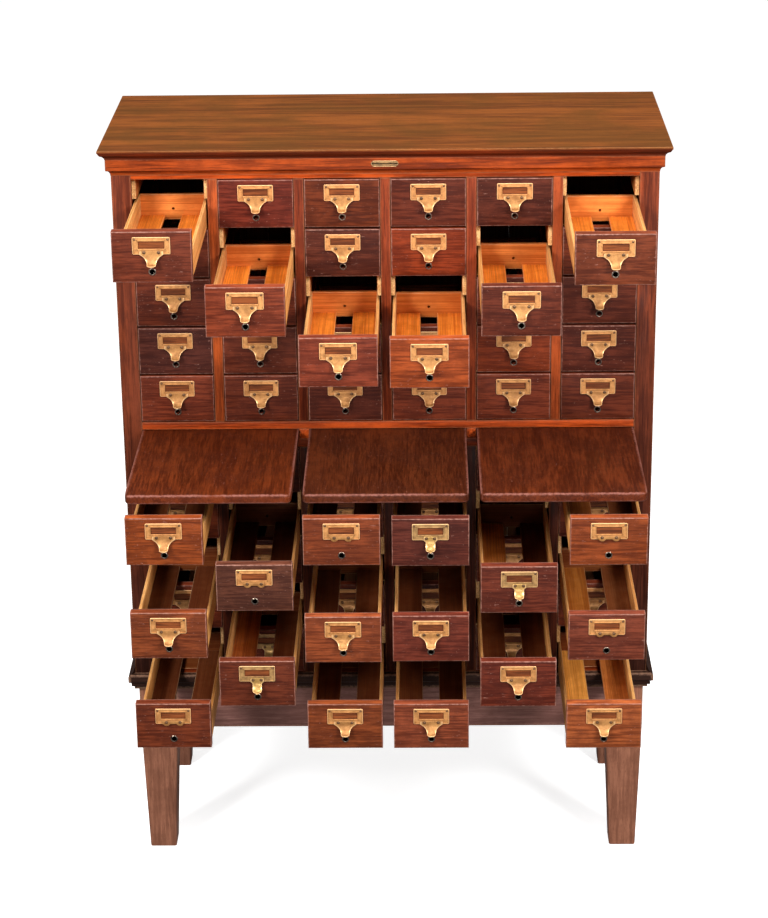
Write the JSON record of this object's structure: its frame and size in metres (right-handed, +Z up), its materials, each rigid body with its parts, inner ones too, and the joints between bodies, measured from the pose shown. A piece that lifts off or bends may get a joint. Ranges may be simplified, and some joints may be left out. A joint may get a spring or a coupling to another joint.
{
  "type": "card catalogue cabinet",
  "caption": "Tall oak cabinet of small sliding drawers with label-frame pulls, pull-out writing shelves at mid height and a stand with tapered legs.",
  "frame": {"origin": "on the floor under the middle of the cabinet's overall box, drawers and shelves as they stand open", "axes": "+X to the cabinet's right as seen from the front, front towards -Y, +Z up"},
  "size_m": [1.123, 0.8752, 1.558],
  "materials": {
    "oak_case": "satin varnish, worn",
    "oak_top": "dull varnish, stained",
    "oak_front": "satin varnish, worn at the edges",
    "oak_shelf": "satin varnish, worn at the edges",
    "oak_leg": "dull varnish",
    "pale_wood": "shellac",
    "brass": "aged, satin"
  },
  "bodies": {
    "cabinet": {"top_board": "oak_top", "cornice": "oak_case", "name_plate": "brass", "side_panel_left": "oak_case", "side_panel_right": "oak_case", "back_panel": "pale_wood", "corner_stiles": "oak_case", "stiles": "oak_case", "face_rails": "oak_case", "partitions": "pale_wood", "dust_boards": "pale_wood", "drawer_runners": "pale_wood", "shelf_guides": "oak_case", "base_moulding": "oak_case", "apron_rails": "oak_case", "leg_front_left": "oak_leg", "leg_front_right": "oak_leg", "leg_back_left": "oak_leg", "leg_back_right": "oak_leg", "closed_drawer_fronts": "oak_front", "closed_drawer_boxes": "pale_wood", "closed_drawer_label_frames": "brass", "closed_drawer_pulls": "brass", "closed_drawer_screws": "brass", "closed_drawer_rings": "brass"},
    "shelf_left_slide": {"shelf_left": "oak_shelf"},
    "shelf_middle_slide": {"shelf_middle": "oak_shelf"},
    "shelf_right_slide": {"shelf_right": "oak_shelf"},
    "column_1_row_1": {"drawer_column_1_row_1": "oak_front"},
    "column_2_row_1": {"drawer_column_2_row_1": "oak_front"},
    "column_3_row_1": {"drawer_column_3_row_1": "oak_front"},
    "column_4_row_1": {"drawer_column_4_row_1": "oak_front"},
    "column_5_row_1": {"drawer_column_5_row_1": "oak_front"},
    "column_6_row_1": {"drawer_column_6_row_1": "oak_front"},
    "column_2_row_2": {"drawer_column_2_row_2": "oak_front"},
    "column_3_row_2": {"drawer_column_3_row_2": "oak_front"},
    "column_4_row_2": {"drawer_column_4_row_2": "oak_front"},
    "column_5_row_2": {"drawer_column_5_row_2": "oak_front"},
    "column_3_row_3": {"drawer_column_3_row_3": "oak_front"},
    "column_4_row_3": {"drawer_column_4_row_3": "oak_front"},
    "column_1_row_5": {"drawer_column_1_row_5": "oak_front"},
    "column_2_row_5": {"drawer_column_2_row_5": "oak_front"},
    "column_5_row_5": {"drawer_column_5_row_5": "oak_front"},
    "column_6_row_5": {"drawer_column_6_row_5": "oak_front"},
    "column_1_row_6": {"drawer_column_1_row_6": "oak_front"},
    "column_3_row_6": {"drawer_column_3_row_6": "oak_front"},
    "column_4_row_6": {"drawer_column_4_row_6": "oak_front"},
    "column_6_row_6": {"drawer_column_6_row_6": "oak_front"},
    "column_2_row_7": {"drawer_column_2_row_7": "oak_front"},
    "column_5_row_7": {"drawer_column_5_row_7": "oak_front"},
    "column_1_row_8": {"drawer_column_1_row_8": "oak_front"},
    "column_3_row_8": {"drawer_column_3_row_8": "oak_front"},
    "column_4_row_8": {"drawer_column_4_row_8": "oak_front"},
    "column_6_row_8": {"drawer_column_6_row_8": "oak_front"},
    "column_2_row_9": {"drawer_column_2_row_9": "oak_front"},
    "column_5_row_9": {"drawer_column_5_row_9": "oak_front"},
    "column_1_row_10": {"drawer_column_1_row_10": "oak_front"},
    "column_3_row_10": {"drawer_column_3_row_10": "oak_front"},
    "column_4_row_10": {"drawer_column_4_row_10": "oak_front"},
    "column_6_row_10": {"drawer_column_6_row_10": "oak_front"}
  },
  "joints": [
    {"name": "shelf_left_travel", "type": "slide", "parent": "cabinet", "child": "shelf_left_slide", "axis": [0, -1, 0], "range_m": [-0.353, 0.012]},
    {"name": "shelf_middle_travel", "type": "slide", "parent": "cabinet", "child": "shelf_middle_slide", "axis": [0, -1, 0], "range_m": [-0.353, 0.012]},
    {"name": "shelf_right_travel", "type": "slide", "parent": "cabinet", "child": "shelf_right_slide", "axis": [0, -1, 0], "range_m": [-0.353, 0.012]},
    {"name": "column_1_row_1_travel", "type": "slide", "parent": "cabinet", "child": "column_1_row_1", "axis": [0, -1, 0], "range_m": [-0.362, 0.043]},
    {"name": "column_2_row_1_travel", "type": "slide", "parent": "cabinet", "child": "column_2_row_1", "axis": [0, -1, 0], "range_m": [0, 0.405]},
    {"name": "column_3_row_1_travel", "type": "slide", "parent": "cabinet", "child": "column_3_row_1", "axis": [0, -1, 0], "range_m": [0, 0.405]},
    {"name": "column_4_row_1_travel", "type": "slide", "parent": "cabinet", "child": "column_4_row_1", "axis": [0, -1, 0], "range_m": [0, 0.405]},
    {"name": "column_5_row_1_travel", "type": "slide", "parent": "cabinet", "child": "column_5_row_1", "axis": [0, -1, 0], "range_m": [0, 0.405]},
    {"name": "column_6_row_1_travel", "type": "slide", "parent": "cabinet", "child": "column_6_row_1", "axis": [0, -1, 0], "range_m": [-0.399, 0.006]},
    {"name": "column_2_row_2_travel", "type": "slide", "parent": "cabinet", "child": "column_2_row_2", "axis": [0, -1, 0], "range_m": [-0.381, 0.024]},
    {"name": "column_3_row_2_travel", "type": "slide", "parent": "cabinet", "child": "column_3_row_2", "axis": [0, -1, 0], "range_m": [0, 0.405]},
    {"name": "column_4_row_2_travel", "type": "slide", "parent": "cabinet", "child": "column_4_row_2", "axis": [0, -1, 0], "range_m": [0, 0.405]},
    {"name": "column_5_row_2_travel", "type": "slide", "parent": "cabinet", "child": "column_5_row_2", "axis": [0, -1, 0], "range_m": [-0.385, 0.02]},
    {"name": "column_3_row_3_travel", "type": "slide", "parent": "cabinet", "child": "column_3_row_3", "axis": [0, -1, 0], "range_m": [-0.373, 0.032]},
    {"name": "column_4_row_3_travel", "type": "slide", "parent": "cabinet", "child": "column_4_row_3", "axis": [0, -1, 0], "range_m": [-0.382, 0.023]},
    {"name": "column_1_row_5_travel", "type": "slide", "parent": "cabinet", "child": "column_1_row_5", "axis": [0, -1, 0], "range_m": [0, 0.405]},
    {"name": "column_2_row_5_travel", "type": "slide", "parent": "cabinet", "child": "column_2_row_5", "axis": [0, -1, 0], "range_m": [0, 0.405]},
    {"name": "column_5_row_5_travel", "type": "slide", "parent": "cabinet", "child": "column_5_row_5", "axis": [0, -1, 0], "range_m": [0, 0.405]},
    {"name": "column_6_row_5_travel", "type": "slide", "parent": "cabinet", "child": "column_6_row_5", "axis": [0, -1, 0], "range_m": [0, 0.405]},
    {"name": "column_1_row_6_travel", "type": "slide", "parent": "cabinet", "child": "column_1_row_6", "axis": [0, -1, 0], "range_m": [-0.374, 0.031]},
    {"name": "column_3_row_6_travel", "type": "slide", "parent": "cabinet", "child": "column_3_row_6", "axis": [0, -1, 0], "range_m": [-0.379, 0.026]},
    {"name": "column_4_row_6_travel", "type": "slide", "parent": "cabinet", "child": "column_4_row_6", "axis": [0, -1, 0], "range_m": [-0.384, 0.021]},
    {"name": "column_6_row_6_travel", "type": "slide", "parent": "cabinet", "child": "column_6_row_6", "axis": [0, -1, 0], "range_m": [-0.384, 0.021]},
    {"name": "column_2_row_7_travel", "type": "slide", "parent": "cabinet", "child": "column_2_row_7", "axis": [0, -1, 0], "range_m": [-0.364, 0.041]},
    {"name": "column_5_row_7_travel", "type": "slide", "parent": "cabinet", "child": "column_5_row_7", "axis": [0, -1, 0], "range_m": [-0.379, 0.026]},
    {"name": "column_1_row_8_travel", "type": "slide", "parent": "cabinet", "child": "column_1_row_8", "axis": [0, -1, 0], "range_m": [-0.362, 0.043]},
    {"name": "column_3_row_8_travel", "type": "slide", "parent": "cabinet", "child": "column_3_row_8", "axis": [0, -1, 0], "range_m": [-0.384, 0.021]},
    {"name": "column_4_row_8_travel", "type": "slide", "parent": "cabinet", "child": "column_4_row_8", "axis": [0, -1, 0], "range_m": [-0.381, 0.024]},
    {"name": "column_6_row_8_travel", "type": "slide", "parent": "cabinet", "child": "column_6_row_8", "axis": [0, -1, 0], "range_m": [-0.378, 0.027]},
    {"name": "column_2_row_9_travel", "type": "slide", "parent": "cabinet", "child": "column_2_row_9", "axis": [0, -1, 0], "range_m": [-0.367, 0.038]},
    {"name": "column_5_row_9_travel", "type": "slide", "parent": "cabinet", "child": "column_5_row_9", "axis": [0, -1, 0], "range_m": [-0.374, 0.031]},
    {"name": "column_1_row_10_travel", "type": "slide", "parent": "cabinet", "child": "column_1_row_10", "axis": [0, -1, 0], "range_m": [-0.347, 0.058]},
    {"name": "column_3_row_10_travel", "type": "slide", "parent": "cabinet", "child": "column_3_row_10", "axis": [0, -1, 0], "range_m": [-0.352, 0.053]},
    {"name": "column_4_row_10_travel", "type": "slide", "parent": "cabinet", "child": "column_4_row_10", "axis": [0, -1, 0], "range_m": [-0.353, 0.052]},
    {"name": "column_6_row_10_travel", "type": "slide", "parent": "cabinet", "child": "column_6_row_10", "axis": [0, -1, 0], "range_m": [-0.355, 0.05]}
  ]
}
